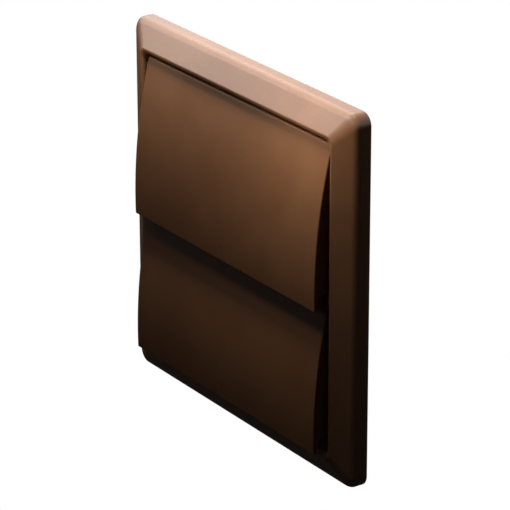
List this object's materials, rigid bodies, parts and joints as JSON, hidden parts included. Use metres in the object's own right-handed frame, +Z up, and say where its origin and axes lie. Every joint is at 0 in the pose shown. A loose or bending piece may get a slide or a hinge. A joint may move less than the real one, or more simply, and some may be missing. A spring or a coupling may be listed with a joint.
{
  "type": "duct outlet with gravity flaps",
  "caption": "Square wall outlet for a round duct: a bevelled fascia on a wall plate with a spigot, closed by overlapping curved gravity flaps.",
  "frame": {"origin": "where the axis of the duct spigot meets the wall plane", "axes": "+Y into the wall along the spigot, +Z up, +X to the right seen from outside, so the face looks towards -Y"},
  "size_m": [0.154, 0.0344, 0.154],
  "materials": {
    "fascia_plastic": "brown moulded ABS, fine spark-eroded texture",
    "plate_plastic": "brown moulded ABS, plain",
    "flap_plastic": "brown moulded ABS, fine spark-eroded texture",
    "seal_foam": "black closed-cell foam",
    "pin_steel": "drawn stainless wire",
    "keeper_acetal": "natural moulded acetal",
    "pad_rubber": "soft black rubber",
    "screw_steel": "bright stainless"
  },
  "bodies": {
    "outlet_body": {"fascia_frame": "fascia_plastic", "wall_plate": "plate_plastic", "duct_spigot": "plate_plastic", "wall_seal": "seal_foam", "pin_keeper_upper_left": "keeper_acetal", "pin_keeper_upper_right": "keeper_acetal", "pin_keeper_lower_left": "keeper_acetal", "pin_keeper_lower_right": "keeper_acetal", "buffer_pad_upper_left": "pad_rubber", "buffer_pad_upper_right": "pad_rubber", "buffer_pad_lower_left": "pad_rubber", "buffer_pad_lower_right": "pad_rubber", "fascia_screw_left": "screw_steel", "fascia_screw_right": "screw_steel"},
    "upper_shutter": {"upper_flap": "flap_plastic", "pivot_pin_upper_left": "pin_steel", "pivot_pin_upper_right": "pin_steel"},
    "lower_shutter": {"lower_flap": "flap_plastic", "pivot_pin_lower_left": "pin_steel", "pivot_pin_lower_right": "pin_steel"}
  },
  "joints": [
    {"name": "upper_flap_hinge", "type": "hinge", "parent": "outlet_body", "child": "upper_shutter", "pos_m": [0, -0.00751, 0.0566], "axis": [-1, 0, 0], "range_deg": [0, 50]},
    {"name": "lower_flap_hinge", "type": "hinge", "parent": "outlet_body", "child": "lower_shutter", "pos_m": [0, -0.00751, -0.0034], "axis": [-1, 0, 0], "range_deg": [0, 50]}
  ]
}
